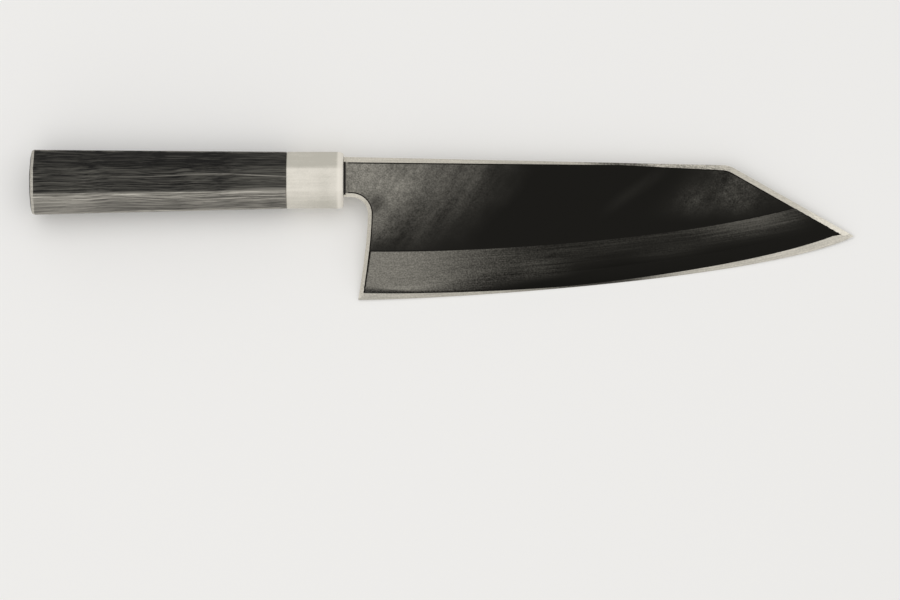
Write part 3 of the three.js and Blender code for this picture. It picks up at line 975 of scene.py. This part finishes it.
def wood_vein_and_highlight(finish, place, sway, broad, fibre, painted_streaks):
    """How pale the wood is: along one vein of its grain, and in a painted highlight above the lower arris,
    but not on the butt's end.
    """
    x, y, _ = finish.split(place)
    vein_height = finish.between(finish.near(x, -55, 36), 1.1, 2.4)
    over_vein = finish.math("SUBTRACT", finish.sum(y, finish.product(sway, 0.2)), vein_height)
    vein = finish.product(finish.near(over_vein, 0, 0.45), finish.ease(x, -120, -28, 0.16, 0.56))
    # Painted highlight: the wood is paler in a band just above the lower arris
    arris = finish.sum(finish.math("MULTIPLY_ADD", x, 0.0129, -5.19), broad)
    highlight_width = finish.sum(finish.ramp(x, -112, -92, 0.9, 1.3), finish.ramp(x, -44, -34, 0, 0.9))
    vein_and_highlight = finish.ease(finish.math("SUBTRACT", y, arris), highlight_width, 0, 0, painted_streaks)
    vein_and_highlight = finish.product(finish.math("MAXIMUM", vein, vein_and_highlight), finish.ease(fibre, 0.0, 0.5, 0.3, 1))
    rim = (butt_rim - shoulder.x) * PER_MM
    return finish.product(vein_and_highlight, finish.ease(x, rim - BUTT_EASE_LENGTH * PER_MM, rim))


def wood(name, ground, fibre_colour, pale, painted_streaks=0.0, fall=1.0, at_butt=0.0, by_ferrule=0.0):
    """Close-grained wood with long fibres and fine pores. The numbers say how strong the painted highlight
    above the lower arris is, what share of its tone is left at its foot, and how its tone changes at the
    butt and by the ferrule."""
    finish = Finish(name)
    place = finish.place()
    x, y, z = finish.split(place)
    sway = finish.spread(finish.noise(place, 60, detail=1), -1.2, 1.2)
    laid = finish.join(x, finish.sum(y, sway), finish.sum(z, sway))
    broad = finish.group(streaks, Vector=laid, Length=80.0, Width=2.2)
    fibre = finish.group(streaks, Vector=laid, Length=50.0, Width=0.46)
    fine = finish.group(streaks, Vector=laid, Length=16.0, Width=0.4)
    pores = finish.ease(finish.group(streaks, Vector=laid, Length=6.0, Width=0.28), 0.24, 0.1)
    grain = finish.blend((broad, 0.04), (fibre, 0.46), (fine, 0.5))
    tone = wood_tone(finish, place, grain, fall, at_butt, by_ferrule)
    vein_and_highlight = wood_vein_and_highlight(finish, place, sway, broad, fibre, painted_streaks)
    colour = finish.mix(tone, ground, fibre_colour)
    colour = finish.mix(vein_and_highlight, colour, pale)
    colour = finish.mix(finish.product(pores, 0.6), colour, PORE)
    finish.set(
        Base_Color=colour,
        Roughness=finish.between(fibre, 0.55, 0.4),
        Specular_IOR_Level=0.1,
    )
    finish.bump(finish.math("SUBTRACT", finish.product(fibre, 0.5), pores), 0.04)
    return finish.material


def pale_horn():
    """Pale polished horn with faint clouds and lines, with painted shade on the slanted facets, and a
    painted highlight on its eased front.
    """
    finish = Finish("pale_horn")
    place = finish.place()
    x, y, _ = finish.split(place)
    cloud = finish.spread(finish.noise(place, 9, detail=4, roughness=0.55), 0, 0.3)
    drawn = finish.group(streaks, Vector=place, Length=22.0, Width=1.2)
    grain = finish.group(speckle, Vector=place, Size=0.7)
    # Painted shade: the upper and lower slanted facets are greyer
    upper = finish.ease(y, 4, 6.5, 0, 0.62)
    lower = finish.ease(y, -5, -11, 0, 0.44)
    ringed = finish.product(finish.near(x, -7.5, 8), 0.15)
    greyer = finish.sum(finish.blend((drawn, 0.25), (grain, 0.2)), cloud, upper, lower, ringed)
    # Painted highlight: the eased front is kept pale
    amount = finish.product(greyer, finish.ease(x, -3.4, -2, 1, 0.2))
    finish.set(
        Base_Color=finish.mix(amount, srgb(239, 233, 221), srgb(192, 188, 176)),
        Roughness=finish.between(drawn, 0.3, 0.42),
        Specular_IOR_Level=0.4,
    )
    finish.bump(finish.sum(drawn, grain), 0.01)
    return finish.material


def dark_resin():
    """Nearly black resin, uneven and half dull."""
    finish = Finish("dark_resin")
    cloud = finish.noise(finish.place(), 1.6, detail=3)
    finish.set(
        Base_Color=finish.mix(finish.spread(cloud), srgb(14, 13, 12), srgb(30, 28, 25)),
        Roughness=finish.spread(cloud, 0.4, 0.65),
        Specular_IOR_Level=0.2,
    )
    finish.bump(cloud, 0.08)
    return finish.material


def pale_wood():
    """The raw wood of the dowel."""
    finish = Finish("pale_wood")
    fibre = finish.group(streaks, Vector=finish.place(), Length=30.0, Width=0.8)
    finish.set(
        Base_Color=finish.mix(fibre, srgb(190, 168, 128), srgb(222, 203, 166)),
        Roughness=finish.between(fibre, 0.6, 0.8),
    )
    finish.bump(fibre, 0.04)
    return finish.material


# Stage: the plane that the knife really lies on, its light and the camera

def resting_plane():
    """The plane that the knife lies on, as a point and a normal: the face of its hull below its middle."""
    corners = [corner.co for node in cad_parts.values() for corner in node.data.vertices]
    mesh = bpy.data.meshes.new("hull")
    mesh.from_pydata(corners, [], [])
    hull = bpy.data.objects.new("hull", mesh)
    bpy.context.scene.collection.objects.link(hull)
    only(hull)
    bpy.ops.object.mode_set(mode="EDIT")
    bpy.ops.mesh.select_all(action="SELECT")
    bpy.ops.mesh.convex_hull(join_triangles=False)
    bpy.ops.object.mode_set(mode="OBJECT")
    middle = (cad_box[0] + cad_box[1]) / 2
    _, place, normal, _ = hull.ray_cast(middle, Vector((0, 0, -1)))
    bpy.data.objects.remove(hull)
    return place, -normal


def blend_shaders(tree, share, first, second, surface):
    """Puts two shaders on a surface, the first at a share of 0 and the second at 1."""
    blend = tree.node("ShaderNodeMixShader")
    for socket, value in zip(blend.inputs, (share, first, second)):
        tree.feed(socket, value)
    tree.feed(surface, blend.outputs[0])


def pale_floor():
    """A plain pale floor that fades out far away and can't be seen from below."""
    finish = Finish("pale_floor")
    finish.set(Base_Color=FLOOR_COLOUR, Roughness=0.9, Specular_IOR_Level=0.0)
    distance = finish.node("ShaderNodeVectorMath", operation="LENGTH")
    finish.feed(distance.inputs[0], finish.node("ShaderNodeTexCoord").outputs["Object"])
    fade = finish.ease(distance.outputs["Value"], *FLOOR_FADE)
    behind = finish.node("ShaderNodeNewGeometry").outputs["Backfacing"]
    unseen = finish.math("MAXIMUM", fade, behind)
    clear = finish.node("ShaderNodeBsdfTransparent").outputs[0]
    surface = finish.tree.nodes["Material Output"].inputs["Surface"]
    blend_shaders(finish, unseen, finish.shader.outputs[0], clear, surface)
    return finish.material


def floor():
    """The floor, in the plane that the knife lies on."""
    place, normal = resting_plane()
    bpy.ops.object.select_all(action="DESELECT")
    bpy.ops.mesh.primitive_plane_add(
        size=FLOOR_SIZE,
        location=place - normal * FLOOR_GAP,
        rotation=normal.to_track_quat("Z", "Y").to_euler(),
    )
    plane = bpy.context.object
    plane.name = "floor"
    plane.visible_glossy = False
    give(plane, [pale_floor()])


def sky():
    """Even light for the object, and the floor's own pale look wherever the background is seen."""
    world = bpy.data.worlds.new("studio")
    world.use_nodes = True
    bpy.context.scene.world = world
    tree = Tree(world.node_tree)
    light = world.node_tree.nodes["Background"]
    light.inputs["Color"].default_value = WHITE
    light.inputs["Strength"].default_value = SKY_LIGHT
    seen = tree.node("ShaderNodeBackground")
    seen.inputs["Color"].default_value = SEEN_PALE
    path = tree.node("ShaderNodeLightPath").outputs
    shown = tree.math("MAXIMUM", path["Is Camera Ray"], path["Is Glossy Ray"])
    shown = tree.math("MAXIMUM", shown, path["Is Transmission Ray"])
    surface = world.node_tree.nodes["World Output"].inputs["Surface"]
    blend_shaders(tree, shown, light.outputs[0], seen.outputs[0], surface)


def soft_light(name, place, size, watts):
    """A wide lamp that looks at the ferrule and isn't seen itself."""
    light = bpy.data.lights.new(name, "AREA")
    light.shape = "RECTANGLE"
    light.size, light.size_y = size
    light.energy = watts
    lamp = bpy.data.objects.new(name, light)
    lamp.location = place
    lamp.rotation_euler = (ferrule_centre - Vector(place)).to_track_quat("-Z", "Y").to_euler()
    lamp.visible_camera = False
    bpy.context.scene.collection.objects.link(lamp)


def camera():
    """The camera, square on to the front of the knife, with the ferrule at its place in the picture."""
    across = (PICTURE_WIDTH / 2 - FERRULE_FRONT_PIXEL) * PIXEL
    down = (PICTURE_HEIGHT / 2 - HANDLE_AXIS_PIXEL) * PIXEL
    aim = Vector((ferrule_high.x + across, ferrule_centre.y - down, ferrule_centre.z))
    lens = bpy.data.cameras.new("camera")
    lens.lens = LENS
    lens.sensor_width = SENSOR
    seen_from = bpy.data.objects.new("camera", lens)
    seen_from.location = aim + Vector((0, 0, PICTURE_WIDTH * PIXEL * LENS / SENSOR))
    bpy.context.scene.collection.objects.link(seen_from)
    bpy.context.scene.camera = seen_from


camera()
sky()
soft_light("softbox", SOFTBOX_PLACE, (SOFTBOX_SIZE, SOFTBOX_SIZE), SOFTBOX_WATTS)
soft_light("strip", STRIP_PLACE, (STRIP_LENGTH, STRIP_HEIGHT), STRIP_WATTS)
floor()


# The knife: finishes in the order of the blade's surfaces and of the wood's painted light, then the pieces

def place_piece(piece, node):
    """Puts a piece on the knife's one body, in the place of its CAD node."""
    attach(piece, "root")
    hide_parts(node)


blade_finishes = [
    iron_painted_reflection(),
    ground_bevel(),
    bright_chamfer(),
    bright_edge(),
    forged_side(),
    polished_rim(),
    ground_hollow(),
]
handle_finishes = [
    # Plain dark wood, with a painted highlight above the lower arris
    wood(
        "dark_wood",
        ground=srgb(18, 17, 16), fibre_colour=srgb(88, 86, 80), pale=srgb(160, 156, 147),
        painted_streaks=0.75, by_ferrule=0.28,
    ),
    # Painted sheen: a paler copy of the wood for the lower facets
    wood(
        "wood_painted_sheen",
        ground=srgb(84, 82, 77), fibre_colour=srgb(199, 194, 183), pale=srgb(192, 187, 177),
        fall=0.4, at_butt=0.25,
    ),
    # Painted highlight: a pale copy of the wood for the lower and inner arrises
    wood(
        "wood_painted_highlight",
        ground=srgb(114, 111, 104), fibre_colour=srgb(208, 203, 192), pale=srgb(208, 203, 192),
        at_butt=-0.4,
    ),
    # Painted highlight: a patchy pale copy of the wood for the upper outer arrises
    wood(
        "wood_painted_top_highlight",
        ground=srgb(26, 25, 23), fibre_colour=srgb(184, 179, 168), pale=srgb(184, 179, 168),
    ),
    # Painted highlight: a pale copy of the wood for the butt's eased edge
    wood(
        "wood_painted_butt_highlight",
        ground=srgb(168, 164, 155), fibre_colour=srgb(206, 201, 190), pale=srgb(214, 209, 198),
    ),
]

place_piece(blade_part("iron_blade_body", "blade_iron", blade_finishes), "iron_blade_body")
place_piece(blade_part("steel_edge_plate", "blade_steel", blade_finishes), "steel_edge_plate")
place_piece(smoothed(neck_resin([dark_resin()])), "neck_seal")
place_piece(smoothed(ferrule_horn([pale_horn()])), "ferrule")
place_piece(smoothed(handle_wood(handle_finishes)), "handle_body")
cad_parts["tang_dowel"].data.materials[0] = pale_wood()

bpy.context.scene.view_settings.view_transform = "Standard"
